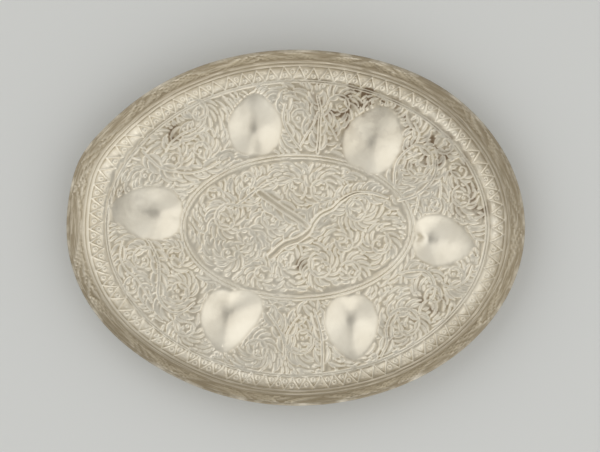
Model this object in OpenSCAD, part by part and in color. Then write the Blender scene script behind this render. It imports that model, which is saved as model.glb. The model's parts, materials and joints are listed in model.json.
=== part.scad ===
// Oval offering plate in chased silver: one raised sheet with six heart-shaped wells, and a rim wire.
// It lies as it is used: long axis along X, hollow side up, standing on the undersides of its wells.

/* [Plate] */
// Length over the rim wire
plate_l = 200; // [180:1:240]
// Width over the rim wire
plate_w = 155; // [140:1:186]
// Height of the top of the rim above the floor
wall_h = 12; // [8:0.5:16]
// How far the wall leans out between the floor and the rim, at the ends of the plate
lean_l = 9; // [6:0.5:12]
// How far the wall leans out between the floor and the rim, along the sides of the plate
lean_w = 6; // [4:0.5:10]
// Thickness of the silver sheet
sheet_t = 0.8; // [0.6:0.1:1.2]

/* [Rim wire] */
// Thickness of the wire soldered along the edge of the sheet
wire_d = 1.2; // [1:0.1:1.8]

/* [Wells] */
// Length of each heart-shaped well, from its lobes to its tip
well_l = 28; // [24:0.5:30]
// Width of each well across its two lobes
well_w = 22; // [20:0.5:24]
// Depth of each well below the floor
well_depth = 3.5; // [2.5:0.1:5]

/* [Hidden] */

// The whole shape is set out on ellipses, with this many stations round each one.
stations = 84;
step = 360 / stations;

// Plan of the plate along its two axes: out to the middle of the wire, and how far the wall leans.
half = [plate_l / 2 - wire_d / 2, plate_w / 2 - wire_d / 2];
lean = [lean_l, lean_w];

// The wells stand on the plane z = 0. The wire's underside is filed flat and sits on the sheet's edge.
floor_top = well_depth + sheet_t;
filed = 0.58;
edge_z = floor_top + wall_h - wire_d / 2 * (1 + filed);

// The wall leaves the floor level, curves up through the bend, and then leans out to the rim.
bend = 5;
rise = edge_z - floor_top;
wall_steps = 6;

// Rings of the floor, as shares of its size: none are needed inside the wells, and they are close across them.
well_rings = 12;
inner_ring = 0.4;
FLOOR_RINGS = [for (i = [0 : well_rings]) inner_ring + (1 - inner_ring) * i / well_rings];
rings = len(FLOOR_RINGS) + wall_steps;

// Each well: its deepest place on a plate of 200 by 155, and the way that its tip points.
// They were set out by eye, two at the ends and two along each side, and aren't even.
WELLS = [
    [-18.3, 43.5, 90],
    [33.3, 36.9, 65],
    [-61.5, 6.5, 172],
    [58.5, -4.9, -6],
    [-30.5, -38.1, -106],
    [24.2, -40.1, -88],
];
grow = [plate_l / 200, plate_w / 155];

// A well is two egg-shaped hollows side by side, which lean towards each other at the tip.
lobe_turn = 24;
lobe_apart = well_w * 0.13;
lobe_long = well_l / 2;
lobe_wide = well_w * 0.3;

// A well is longer towards its tip than towards its lobes: the middle of its length is this far along.
tip_shift = 2;

// The sides of a well run down to a flat bottom, which is this much of an even slope to the middle.
slope_share = 0.66;

// How deep a point lies inside one egg of a well: 1 at its middle and 0 on its edge.
function egg(p, side) =
    let(q = [p.x, p.y - side * lobe_apart])
    1
    - ((q.x * cos(lobe_turn) - side * q.y * sin(lobe_turn)) / lobe_long) ^ 2
    - ((side * q.x * sin(lobe_turn) + q.y * cos(lobe_turn)) / lobe_wide) ^ 2;

// The same point in a well's own plan, with the tip along +X.
function in_well(p, well) =
    let(q = [p.x - well.x * grow.x, p.y - well.y * grow.y])
    [q.x * cos(well.z) + q.y * sin(well.z) - tip_shift, q.y * cos(well.z) - q.x * sin(well.z)];

function inside_wells(p) =
    max([for (well = WELLS) for (side = [-1, 1]) egg(in_well(p, well), side)]);

function sunk(p) = well_depth * sin(90 * min(1, max(0, inside_wells(p) / slope_share)));

// The wall at share t of its run, along one axis of the plate: how far inside the rim, and its slope.
function wall_in(t, axis) = lean[axis] * (1 - t ^ 2) + bend * (1 - t) ^ 2;
function wall_slope(t, axis) = atan2(2 * rise * t, 2 * lean[axis] * t + 2 * bend * (1 - t));

// A point of the sheet's hollow side (under = 0) or of its underside (under = 1).
function floor_point(share, turn, under) =
    let(
        size = [half.x - wall_in(0, 0), half.y - wall_in(0, 1)] * share,
        p = [size.x * cos(turn), size.y * sin(turn)]
    )
    [p.x, p.y, floor_top - sunk(p) - under * sheet_t];

function wall_point(t, turn, under) =
    let(
        slope = [for (axis = [0, 1]) t < 1 ? wall_slope(t, axis) : 90],
        thick = under * sheet_t,
        flare = [for (axis = [0, 1]) half[axis] - wall_in(t, axis) - sheet_t / 2 * t],
        down = thick * (cos(slope.x) * cos(turn) ^ 2 + cos(slope.y) * sin(turn) ^ 2)
    )
    [
        (flare.x + thick * sin(slope.x)) * cos(turn),
        (flare.y + thick * sin(slope.y)) * sin(turn),
        floor_top + rise * t ^ 2 - down,
    ];

function sheet_point(ring, turn, under) =
    ring < len(FLOOR_RINGS)
        ? floor_point(FLOOR_RINGS[ring], turn, under)
        : wall_point((ring - len(FLOOR_RINGS) + 1) / wall_steps, turn, under);

// Two triangles between stations j and j + 1 of the rows of points that start at a and b.
function strip(a, b, j) =
    let(k = (j + 1) % stations)
    [[a + j, b + k, b + j], [a + j, a + k, b + k]];

module dish() {
    count = rings * stations;
    color("gainsboro")
    polyhedron(
        points = concat(
            [for (under = [0, 1]) for (ring = [0 : rings - 1]) for (j = [0 : stations - 1])
                sheet_point(ring, j * step, under)],
            [[0, 0, floor_top], [0, 0, floor_top - sheet_t]]
        ),
        faces = concat(
            [for (ring = [0 : rings - 2]) for (j = [0 : stations - 1])
                each strip(ring * stations, (ring + 1) * stations, j)],
            [for (ring = [0 : rings - 2]) for (j = [0 : stations - 1])
                each strip(count + (ring + 1) * stations, count + ring * stations, j)],
            [for (j = [0 : stations - 1])
                each strip((rings - 1) * stations, count + (rings - 1) * stations, j)],
            [for (j = [0 : stations - 1]) [2 * count, (j + 1) % stations, j]],
            [for (j = [0 : stations - 1]) [2 * count + 1, count + j, count + (j + 1) % stations]]
        )
    );
}

// The wire's section is a ring of points, lifted where it is filed flat.
wire_sides = 10;
function wire_point(side, turn) =
    let(
        round_turn = side * 360 / wire_sides,
        out = wire_d / 2 * cos(round_turn),
        up = max(0, wire_d / 2 * (sin(round_turn) + filed))
    )
    [(half.x + out) * cos(turn), (half.y + out) * sin(turn), edge_z + up];

module rim_wire() {
    color("silver")
    polyhedron(
        points = [for (side = [0 : wire_sides - 1]) for (j = [0 : stations - 1]) wire_point(side, j * step)],
        faces = [for (side = [0 : wire_sides - 1]) for (j = [0 : stations - 1])
            each strip(((side + 1) % wire_sides) * stations, side * stations, j)]
    );
}

dish();
rim_wire();
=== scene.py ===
import json
import math
from functools import partial

import bpy
import numpy as np
from mathutils import Matrix, Vector


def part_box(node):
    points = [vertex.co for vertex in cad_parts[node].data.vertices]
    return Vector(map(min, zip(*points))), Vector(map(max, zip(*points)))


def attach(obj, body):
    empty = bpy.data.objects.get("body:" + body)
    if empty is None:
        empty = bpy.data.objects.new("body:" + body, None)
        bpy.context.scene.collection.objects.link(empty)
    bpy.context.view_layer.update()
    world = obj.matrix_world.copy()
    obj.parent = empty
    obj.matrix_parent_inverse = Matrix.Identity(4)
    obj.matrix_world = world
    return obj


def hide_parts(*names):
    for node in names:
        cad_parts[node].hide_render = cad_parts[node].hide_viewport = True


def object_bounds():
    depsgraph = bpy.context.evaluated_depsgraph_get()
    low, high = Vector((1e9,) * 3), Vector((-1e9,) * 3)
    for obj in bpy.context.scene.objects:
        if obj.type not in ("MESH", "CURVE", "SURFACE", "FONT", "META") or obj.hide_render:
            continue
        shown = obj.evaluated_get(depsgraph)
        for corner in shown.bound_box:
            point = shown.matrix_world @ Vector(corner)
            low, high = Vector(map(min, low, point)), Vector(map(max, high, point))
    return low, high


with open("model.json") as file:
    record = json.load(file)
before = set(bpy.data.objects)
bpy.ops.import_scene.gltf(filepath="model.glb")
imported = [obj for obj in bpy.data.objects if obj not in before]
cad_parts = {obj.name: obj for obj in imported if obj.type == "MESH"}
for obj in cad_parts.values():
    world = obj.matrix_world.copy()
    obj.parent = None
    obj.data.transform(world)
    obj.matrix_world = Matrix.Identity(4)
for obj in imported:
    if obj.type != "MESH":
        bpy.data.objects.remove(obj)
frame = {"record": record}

bl_info = {
    "name": "Silver offering plate",
    "version": (1, 0, 0),
    "blender": (4, 5, 0),
    "location": "View3D > Sidebar > Plate",
    "description": "Raises, chases and lights an oval silver offering plate with six heart-shaped wells",
    "category": "Add Mesh",
}

MM = 0.001
CAD_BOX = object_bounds()
DISH_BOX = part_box("dish")
WIRE_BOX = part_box("rim_wire")
# The six flats that the plate stands on lie under the middles of its wells.
WELL_MIDDLES = [(m["pos_m"][0] / MM, m["pos_m"][1] / MM) for m in frame["record"]["mounts"]]


# ---------------------------------------------------------------- sizes and colours


def linear(hex_colour):
    """An sRGB hex colour as linear RGBA."""
    parts = [int(hex_colour[i : i + 2], 16) / 255 for i in (1, 3, 5)]
    return (*[c / 12.92 if c <= 0.04045 else ((c + 0.055) / 1.055) ** 2.4 for c in parts], 1)


class PlateSizes(bpy.types.PropertyGroup):
    """Sizes of the sheet, the wire and the marks."""

    sheet_thick: bpy.props.FloatProperty(
        name="Sheet", description="Thickness of the silver sheet",
        default=0.8 * MM, min=0.4 * MM, max=2 * MM, subtype="DISTANCE", precision=5,
    )
    wire_thick: bpy.props.FloatProperty(
        name="Wire", description="Thickness of the rim wire before its underside is filed",
        default=1.2 * MM, min=0.5 * MM, max=3 * MM, subtype="DISTANCE", precision=5,
    )
    wall_lean_l: bpy.props.FloatProperty(
        name="Lean at the ends", description="How far the wall leans out at the ends",
        default=9 * MM, min=3 * MM, max=20 * MM, subtype="DISTANCE", precision=5,
    )
    wall_lean_w: bpy.props.FloatProperty(
        name="Lean at the sides", description="How far the wall leans out along the sides",
        default=6 * MM, min=3 * MM, max=20 * MM, subtype="DISTANCE", precision=5,
    )
    well_depth: bpy.props.FloatProperty(
        name="Well depth", description="Depth of the wells below the floor",
        default=3.5 * MM, min=1 * MM, max=6 * MM, subtype="DISTANCE", precision=5,
    )
    leaf_relief: bpy.props.FloatProperty(
        name="Leaf relief", description="Height of the chased leaves",
        default=0.6 * MM, min=0, max=1 * MM, subtype="DISTANCE", precision=5,
    )
    line_relief: bpy.props.FloatProperty(
        name="Line relief", description="Height of the border lines",
        default=0.52 * MM, min=0, max=1 * MM, subtype="DISTANCE", precision=5,
    )
    zigzag_count: bpy.props.IntProperty(
        name="Zigzags", description="Points of the zigzag round the border", default=79, min=20, max=120
    )
    seed: bpy.props.IntProperty(
        name="Hand", description="Seed of the small differences from mark to mark", default=7
    )


class PlateColours(bpy.types.PropertyGroup):
    """Colours of the silver and of the ground it lies on."""

    silver: bpy.props.FloatVectorProperty(
        name="Silver", description="Clean silver",
        default=linear("#F0E9D8"), size=4, min=0, max=1, subtype="COLOR",
    )
    # The haze also darkens the hollows of the chasing as painted shade.
    haze: bpy.props.FloatVectorProperty(
        name="Haze", description="Thin film on the floor",
        default=linear("#B4A78D"), size=4, min=0, max=1, subtype="COLOR",
    )
    tarnish: bpy.props.FloatVectorProperty(
        name="Tarnish", description="Brown film on the wall",
        default=linear("#9D917B"), size=4, min=0, max=1, subtype="COLOR",
    )
    dirt: bpy.props.FloatVectorProperty(
        name="Dirt", description="Old dirt in the chasing",
        default=linear("#6E5A40"), size=4, min=0, max=1, subtype="COLOR",
    )
    ground: bpy.props.FloatVectorProperty(
        name="Ground", description="Paper that the plate lies on",
        default=linear("#CECECA"), size=4, min=0, max=1, subtype="COLOR",
    )


def sizes():
    """The sizes as they are set."""
    return bpy.context.scene.plate_sizes


def colours():
    """The colours as they are set."""
    return bpy.context.scene.plate_colours


def per_metre(size):
    """The scale of a pattern whose marks are some mm across."""
    return 1 / (size * MM)


def add_node(tree, kind, inputs=None, **settings):
    """Adds a node, sets its settings, and sets or links the inputs given by name or number."""
    made = tree.nodes.new(kind)
    for key, value in settings.items():
        setattr(made, key, value)
    for key, value in (inputs or {}).items():
        if isinstance(value, bpy.types.NodeSocket):
            tree.links.new(value, made.inputs[key])
        else:
            made.inputs[key].default_value = value
    return made


# ---------------------------------------------------------------- the plan and section of the sheet

# The sheet is worked out in millimetres from the middle of the plate, and turned to metres in its mesh.


class Plan:
    """The sheet's plan and section: ellipses in plan, a level floor, a bend and a leaning wall."""

    # How far the bend between floor and wall reaches, in mm.
    bend = 5.0
    # Bulges of the hand-raised outline: direction in degrees, mm outwards, and half-width in degrees.
    bulges = ((52, 1.1, 20), (157, 1.7, 11), (235, -1.1, 22))

    def __init__(self):
        s = sizes()
        wire_r = s.wire_thick / MM / 2
        self.thick = s.sheet_thick / MM
        self.rim = np.array([CAD_BOX[1].x / MM - wire_r, CAD_BOX[1].y / MM - wire_r])
        self.lean = np.array([s.wall_lean_l, s.wall_lean_w]) / MM
        self.floor_end = self.rim - self.lean - self.bend
        self.floor_z = s.well_depth / MM + self.thick
        self.edge_z = DISH_BOX[1].z / MM
        self.rise = self.edge_z - self.floor_z

    def inset(self, t):
        """How far inside the rim the wall is at share t of its run, along each axis."""
        t = np.asarray(t)[..., None]
        return self.lean * (1 - t**2) + self.bend * (1 - t) ** 2

    def slope(self, t):
        """Steepness of the wall at share t, along each axis, in radians."""
        t = np.asarray(t)[..., None]
        return np.arctan2(2 * self.rise * t, 2 * self.lean * t + 2 * self.bend * (1 - t))

    def bulge(self, turn):
        """How far the hand-raised outline stands outside a true ellipse, in mm."""
        out = np.zeros_like(turn)
        for middle, size, width in self.bulges:
            away = (turn - math.radians(middle) + math.pi) % (2 * math.pi) - math.pi
            out += size * np.exp(-((away / math.radians(width)) ** 2))
        return out

    def point(self, share, t, turn, under):
        """Points of the sheet and the ways its marks are raised.

        share runs over the floor, t up the wall, and under from the hollow side at 0 to the back at 1.
        """
        cos, sin = np.cos(turn), np.sin(turn)
        on_wall = share >= 1
        slope = (self.slope(t) * np.stack([cos**2, sin**2], -1)).sum(-1) * on_wall
        size = np.where(on_wall[:, None], self.rim - self.inset(t), self.floor_end * share[:, None])
        size = size + ((under - 0.5) * self.thick * np.sin(slope))[:, None]
        grow = 1 + self.bulge(turn) / self.rim.mean() * np.where(on_wall, 1.0, share**3)
        z = self.floor_z + self.rise * t**2 * on_wall - under * self.thick * np.cos(slope)
        place = np.stack([size[:, 0] * cos * grow, size[:, 1] * sin * grow, z], -1)
        raised = np.stack([-cos * np.sin(slope), -sin * np.sin(slope), np.cos(slope)], -1)
        return place, raised


# Which way each well's tip points, in degrees, in the order of the flats.
WELL_TURNS = (90, 65, 172, -10, -97, -85)
# A well's outline, as its reach from the middle in mm at each turn away from its tip, in degrees.
OUTLINE_TURN = (0, 12, 28, 50, 75, 100, 125, 145, 160, 172, 180)
OUTLINE_REACH = (18.2, 16.6, 14.2, 12.4, 11.4, 10.9, 11.1, 11.4, 11.0, 10.2, 9.4)
# Each well is longer or shorter towards its tip, and larger or smaller, in the order of the flats.
WELL_LONG = (0.86, 0.86, 1.16, 1.12, 0.92, 1.0)
WELL_BROAD = (1.02, 1.12, 1.0, 1.0, 1.0, 1.0)
# Where its edge stands out or in: direction from its middle in degrees, mm outwards, half-width in degrees.
WELL_SWELLS = ((0, 0, 1), (0, 0, 1), (0, 0, 1), (180, -5, 65), (22, 5.0, 34), (0, 0, 1))
# How far to each side of its tip a well's own shape changes, in degrees.
TIP_WIDE = 75


def well_shares(p, grown):
    """How far inside the nearest well each point is, and how near its tip.

    The first is 1 in the well's middle and 0 at its edge, which is grown by some mm.
    """
    best, tip = np.full(len(p), -9.0), np.zeros(len(p))
    hand = zip(WELL_MIDDLES, WELL_TURNS, WELL_LONG, WELL_BROAD, WELL_SWELLS)
    for (x, y), turn, stretch, broad, (way, swell, half_width) in hand:
        dx, dy = p[:, 0] - x, p[:, 1] - y
        towards = np.degrees(np.arctan2(dy, dx))
        off = np.abs((towards - turn + 180) % 360 - 180)
        near_tip = np.clip(1 - off / TIP_WIDE, 0, 1)
        reach = np.interp(off, OUTLINE_TURN, OUTLINE_REACH) * broad * (1 + (stretch - 1) * near_tip) + grown
        reach += swell * np.exp(-((((towards - way + 180) % 360 - 180) / half_width) ** 2))
        share = 1 - np.hypot(dx, dy) / reach
        tip = np.where(share > best, near_tip, tip)
        best = np.maximum(best, share)
    return best, tip


def well_depths(p):
    """Depth of the wells at plan points: a round bowl with a firm lip, which runs out gently at the tip."""
    inside, tip = well_shares(p, 0.3)
    inside = np.clip(inside, 0, 1)
    round_bottom, gentle_tip = 0.5, 0.7
    edge = (1 - math.hypot(1, round_bottom)) / (1 - round_bottom)
    slant = (1 - np.hypot(1 - inside, round_bottom)) / (1 - round_bottom)
    bowl = (slant - edge) / (1 - edge)
    gentle = inside**2 * (3 - 2 * inside)
    return bowl + (gentle - bowl) * gentle_tip * tip


# ---------------------------------------------------------------- the chased leaves


def smooth_line(points, each=8):
    """A smooth line through given points, as Catmull-Rom spans."""
    p = np.array(points, float)
    knots = np.vstack([2 * p[0] - p[1], p, 2 * p[-1] - p[-2]])
    t = np.linspace(0, 1, each, endpoint=False)[:, None]
    spans = []
    for i in range(1, len(knots) - 2):
        a, b, c, d = knots[i - 1 : i + 3]
        span = 2 * b + (c - a) * t + (2 * a - 5 * b + 4 * c - d) * t**2 + (3 * b - a - 3 * c + d) * t**3
        spans.append(span / 2)
    spans.append(knots[-2][None])
    return np.vstack(spans)


# The most segments of a line that are drawn at once, which keeps the window round them small.
RUN_SEGMENTS = 10
# How much shorter a leaf is tried each time it has no room, in mm.
LEAF_STEP = 0.35


class Map:
    """A flat map of part of the sheet, on which marks are drawn as heights in shares of the relief."""

    def __init__(self, low, high, pitch=0.16):
        self.low, self.pitch = np.array(low, float), pitch
        self.shape = tuple(np.ceil((np.array(high) - low) / pitch).astype(int) + 1)
        self.up = np.zeros(self.shape)
        self.taken = np.zeros(self.shape, bool)

    def centres(self):
        x = self.low[0] + self.pitch * np.arange(self.shape[0])
        y = self.low[1] + self.pitch * np.arange(self.shape[1])
        return np.stack(np.meshgrid(x, y, indexing="ij"), -1)

    def near(self, line, reach):
        """The cells round a line, how far each is to the left of it, and how far along it, from 0 to 1."""
        low = np.maximum(((line.min(0) - reach - self.low) / self.pitch).astype(int), 0)
        high = np.minimum(((line.max(0) + reach - self.low) / self.pitch).astype(int) + 2, self.shape)
        window = (slice(low[0], high[0]), slice(low[1], high[1]))
        x = self.low[0] + self.pitch * np.arange(low[0], high[0])[:, None, None]
        y = self.low[1] + self.pitch * np.arange(low[1], high[1])[None, :, None]
        step = np.diff(line, axis=0)
        length = np.maximum(np.hypot(step[:, 0], step[:, 1]), 1e-9)
        start = np.concatenate([[0], np.cumsum(length)])[:-1]
        dx, dy = x - line[:-1, 0], y - line[:-1, 1]
        along = np.clip((dx * step[:, 0] + dy * step[:, 1]) / length**2, 0, 1)
        away = np.hypot(dx - along * step[:, 0], dy - along * step[:, 1])
        which = away.argmin(-1)[..., None]
        nearest = which[..., 0]
        run = np.take_along_axis(along, which, -1)[..., 0] * length[nearest] + start[nearest]
        side = np.sign(np.take_along_axis(dy * step[:, 0] - dx * step[:, 1], which, -1)[..., 0])
        return window, side * np.take_along_axis(away, which, -1)[..., 0], run / length.sum()

    def ridge(self, line, width, height, take=0.0):
        """A raised round-topped line, which takes some mm more on each side of it."""
        for i in range(0, len(line) - 1, RUN_SEGMENTS):
            window, left, _ = self.near(line[i : i + RUN_SEGMENTS + 1], width + take)
            away = np.abs(left)
            top = height * np.sqrt(np.clip(1 - (away / width * 2) ** 2, 0, 1))
            self.up[window] = np.maximum(self.up[window], top)
            self.taken[window] |= away < width / 2 + take

    def stem(self, line, thick, thin, height):
        """A stem: a shallow channel between two raised edges, which narrows from thick to thin."""
        window, left, share = self.near(line, thick)
        away = np.abs(left)
        half = (thick + (thin - thick) * share) / 2
        edge = 0.3 + 0.03 * thick
        trough_rise, cut, bare = 0.3, 0.05, 0.35
        rail = np.sqrt(np.clip(1 - ((away - half + edge) / edge) ** 2, 0, 1))
        trough = np.where(away < half - edge, trough_rise * (away / np.maximum(half, 0.1)) ** 2, 0)
        inside = away < half + cut
        self.up[window] = np.where(inside, np.maximum(rail, trough) * height, self.up[window])
        self.taken[window] |= away < half + bare

    def leaf_line(self, base, heading, length, curl, each=6):
        """The middle line of a comma-shaped leaf, which turns by curl as it grows."""
        t = np.linspace(0, 1, each)
        turn = heading + curl * (t[:-1] + t[1:]) / 2
        step = length / (each - 1) * np.stack([np.cos(turn), np.sin(turn)], -1)
        return np.vstack([base, base + np.cumsum(step, 0)])

    def free(self, line, skip):
        """Whether all of a line after its first points lies on cells that no mark has taken."""
        at = ((line[skip:] - self.low) / self.pitch).round().astype(int)
        if (at < 0).any() or (at >= self.shape).any():
            return False
        return not self.taken[at[:, 0], at[:, 1]].any()

    def leaf(self, base, heading, longest, curl, width, height=1.0, shortest=1.4, skip=2):
        """Grows a leaf as long as there is room for, and none where its shortest has no room."""
        length = longest
        while length >= shortest:
            line = self.leaf_line(base, heading, length, curl * length / longest)
            if self.free(line, skip):
                break
            length -= LEAF_STEP
        else:
            return
        window, left, share = self.near(line, width)
        half = width / 2 * np.sin(math.pi * (0.1 + 0.74 * share)) ** 0.7
        # The punch leaves the outer side of each leaf steep, and the inner side gentle.
        across = left / half * -math.copysign(1, curl)
        pad = 1.6 * (0.56 + 0.44 * across) * np.sqrt(np.clip(1 - across**2, 0, 1))
        self.up[window] = np.maximum(self.up[window], height * (0.5 + 0.5 * share) * pad)
        bare = 0.12
        self.taken[window] |= np.abs(left) < half + bare

    def at(self, p):
        """The map's heights at the given points, between cells."""
        f = np.clip((p - self.low) / self.pitch, 0, np.array(self.shape) - 1.001)
        i = f.astype(int)
        u, v = (f - i).T
        up = self.up
        return (
            up[i[:, 0], i[:, 1]] * (1 - u) * (1 - v)
            + up[i[:, 0] + 1, i[:, 1]] * u * (1 - v)
            + up[i[:, 0], i[:, 1] + 1] * (1 - u) * v
            + up[i[:, 0] + 1, i[:, 1] + 1] * u * v
        )


def blurred(grid, cells):
    """A soft copy of a map, by three passes of a box blur along each way."""
    for _ in range(3):
        for way in (0, 1):
            margins = [(cells, cells) if way == k else (0, 0) for k in (0, 1)]
            wide = np.pad(grid, margins, mode="edge")
            total = np.cumsum(wide, axis=way)
            zero = np.zeros_like(np.take(total, [0], axis=way))
            total = np.concatenate([zero, total], axis=way)
            size = grid.shape[way]
            high = np.take(total, range(2 * cells + 1, 2 * cells + 1 + size), axis=way)
            low = np.take(total, range(size), axis=way)
            grid = (high - low) / (2 * cells + 1)
    return grid


# The foliage, in mm from the middle of the plate. A stem has its points, and its width at each end.
STEMS = [
    ([(-11.2, -12.3), (-5.2, -7.1), (0.9, -4.9), (5.6, -1.6), (7.8, 2.4), (11.1, 6.1), (16.1, 8.7),
      (20.2, 12.4), (26.3, 15.4), (33.3, 15.4), (40.4, 13.2)], 3.9, 1.2),
    ([(-16.3, 15.8), (-12.2, 13), (-6.2, 8.7), (-0.1, 4.8), (5, 1.2)], 3.2, 3.4),
    ([(-26.4, 9.9), (-21.9, 13.2), (-17.8, 16.6), (-13.8, 19.4), (-9.2, 21.7)], 1.3, 1.6),
    ([(1.9, 34.8), (-1.1, 38.9), (-4.3, 44), (-5.6, 49), (-4.7, 54.6)], 1.5, 1.2),
    ([(9.5, 33.3), (10.2, 39.9), (10.4, 46), (10.7, 52.1), (9.5, 58.1)], 1.8, 1.6),
    ([(1.7, 35.9), (4.5, 40.9), (7.6, 45.5), (9.6, 51)], 1.1, 1.1),
    ([(18.1, 38.9), (15.7, 44), (12.7, 48), (11.3, 52.6)], 1.1, 1.1),
    ([(43.5, 17.6), (43.3, 22.7), (44.5, 28.8), (48, 33.4), (52.6, 36.9), (54.2, 41.4), (52.2, 46)],
      1.3, 1.2),
    ([(45, 12), (50.6, 13.4), (55.2, 16), (58.7, 19.6), (61.3, 24.2), (61.9, 29.8)], 1.2, 1.6),
    ([(63.2, 20.7), (63.5, 15.6), (62.3, 10.5), (59.7, 6.7)], 1.2, 1.0),
    ([(54, 15.6), (53.4, 10.5), (52.2, 6.1)], 1.1, 1.0),
    ([(-68, 34.2), (-64.4, 30.4), (-59.9, 26.7), (-53.8, 25.1), (-46.7, 24.5), (-39.6, 26.3),
      (-33.5, 29.4)], 1.4, 1.0),
    ([(-57.8, 33.8), (-55.3, 37.9), (-50.7, 41.5), (-44.7, 44)], 1.1, 1.2),
    ([(-65.9, -4.7), (-62.9, -9.7), (-60.9, -15.3), (-60.7, -21.9), (-61.1, -29), (-58.8, -34),
      (-54.4, -37.1), (-49.3, -36.3), (-45.1, -33)], 1.7, 1.2),
    ([(-77.1, -5.7), (-78.1, -11.8), (-75.7, -17.8), (-71, -21.9), (-67.4, -27), (-63.9, -32.6)], 1.1,
      1.1),
    ([(-5.2, -57.3), (-5.1, -51.3), (-6.6, -46.2), (-9.4, -41.5), (-12.2, -37.5)], 1.5, 1.2),
    ([(-4.7, -50.2), (-3.5, -45.6), (-0.7, -41.3), (1.9, -38.1)], 1.2, 1.0),
    ([(11.7, -62.4), (11.5, -55.3), (11.3, -48.2), (9.8, -41.1), (8, -36.1)], 1.5, 1.2),
    ([(45.5, -19.9), (50.6, -18.8), (56.6, -18.8), (60.3, -22.5), (60.9, -28), (58.7, -33)], 1.4,
      1.2),
    ([(37.4, -56.3), (40, -50.2), (39.6, -44.2), (41.9, -38.5), (46.5, -35.5), (52.6, -36.1)], 1.5,
      1.1),
    ([(65.8, -27), (69.8, -25.9), (74.9, -22.5), (77.5, -16.8)], 1.2, 1.0),
]
# A scroll has its middle, its radius, the direction in degrees in which it starts, and how far it winds.
SCROLLS = [
    (11.6, 17.6, 6.9, -35, -480), (27.7, 7.5, 7.2, 55, 500), (36.4, -7.1, 5.6, 60, -480),
    (-30.1, 3.8, 7.4, 50, 500), (-36.6, 14.6, 4.6, -10, 430), (-21.6, -4.7, 5.2, 150, -440),
    (-10.2, 3.6, 5.4, 130, 430), (11.7, -16.8, 6.8, 120, 470), (-4.1, -15.3, 5.2, 60, 430),
    (-30, -10.7, 5.2, 40, -430), (24.6, -19.3, 5.4, 150, -430), (22.2, -6.1, 5, 170, 420),
    (-0.5, 18, 5.6, -60, 430), (-15.3, -20.9, 4.6, 20, 420), (-21.9, 21.7, 4.4, -60, 420),
    (53.2, 27.8, 8.6, 95, -520), (73.5, 13.2, 5.6, 110, 470), (65.8, 36.9, 5.2, 200, 420),
    (69.2, -20.3, 6.2, 215, 480), (60.3, -30, 5, 120, -420), (48.1, -42.6, 8.2, 150, -520),
    (2.7, -48.4, 8.2, 170, 520), (-16.9, -54.3, 6, 150, -470), (17.5, -48.2, 4.6, -150, 420),
    (-52.4, -27.6, 7.4, -160, 500), (-67.6, -13.8, 6, 60, 470), (-54.4, -12.2, 5.4, -60, 440),
    (-54.2, 30.8, 5.8, 200, 470), (-42.6, 34.4, 5.6, -70, 470), (-66.9, 23.3, 5.4, -120, 440),
    (-43.6, 51, 6.4, 150, -470), (1.1, 48.4, 5.2, -20, 440), (19.6, 53.7, 5.8, 170, -470),
    (37.8, 54.7, 4.6, 190, 420), (72.4, 25.3, 4.6, 160, 420), (-72.4, -25.9, 4.4, 100, 420),
    (-48.1, -43.2, 6.6, 110, 470), (60.1, 9.1, 4.4, 90, -420),
]
# The medallion's middle and half-sizes, and its two lines: how far inside it, and how wide.
MEDALLION = (0.4, 0.4, 51.3, 32.0)
MEDALLION_LINES = ((0.0, 0.9), (1.4, 0.6))
# The two thin lines that close the foliage, and the oval past which no leaf grows.
FIELD_LINES = ((84.4, 65.3), (83.4, 64.4))
FIELD_END = np.array([82.8, 64.0])
# Leaves on stems and on scrolls: the longest, their width and their spacing, in mm.
STEM_LEAVES = (7.6, 2.0, 2.1)
SCROLL_LEAVES = (3.4, 1.95, 2.05)
# A large scroll's leaves are longer, by this share of its radius.
LONGER_BY_RADIUS = 0.55
# The half-size of a scroll's eye, in mm.
EYE = 0.45


def oval(cx, cy, a, b, each=240):
    """A closed ellipse with its middle and half-sizes."""
    turn = np.linspace(0, 2 * math.pi, each + 1)
    return np.stack([cx + a * np.cos(turn), cy + b * np.sin(turn)], -1)


def scroll_line(x, y, radius, start, winds, each=46):
    """A spiral in from its circle towards its eye, counter-clockwise if winds > 0. Its end is left out."""
    drawn, closing = 0.72, 0.76
    t = np.linspace(0, 1, each)
    turn = math.radians(start) + math.radians(winds) * drawn * t
    r = radius * (1 - closing * t**1.1)
    return np.stack([x + r * np.cos(turn), y + r * np.sin(turn)], -1)


# How far a leaf leans away from its stem, and how it curls back along it, in radians.
LEAF_LEAN, LEAF_CURL = 0.95, -1.25


def leaves_along(sheet, line, rng, half, longest, width, spacing, shrink=0.0):
    """Leaves down both sides of a line, which sweep forwards as they grow, and shrink towards its end."""
    step = np.diff(line, axis=0)
    length = np.hypot(step[:, 0], step[:, 1])
    run = np.concatenate([[0], np.cumsum(length)])
    for side in (-1, 1):
        place = 0.4 + rng.random() * spacing
        while place < run[-1] - 0.3:
            i = min(np.searchsorted(run, place) - 1, len(step) - 1)
            at = line[i] + step[i] * (place - run[i]) / max(length[i], 1e-9)
            heading = math.atan2(step[i][1], step[i][0]) + side * (LEAF_LEAN + rng.normal(0, 0.08))
            share = place / run[-1]
            base = at + (half + 0.1) * np.array([math.cos(heading), math.sin(heading)])
            wide = width * (1 - shrink * share) * (0.9 + 0.2 * rng.random())
            most = longest * (1 - shrink * share) * (0.85 + 0.3 * rng.random())
            sheet.leaf(base, heading, most, side * LEAF_CURL * (0.8 + 0.4 * rng.random()), wide)
            place += spacing * (1 - 0.35 * shrink * share) * (0.9 + 0.2 * rng.random())


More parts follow.
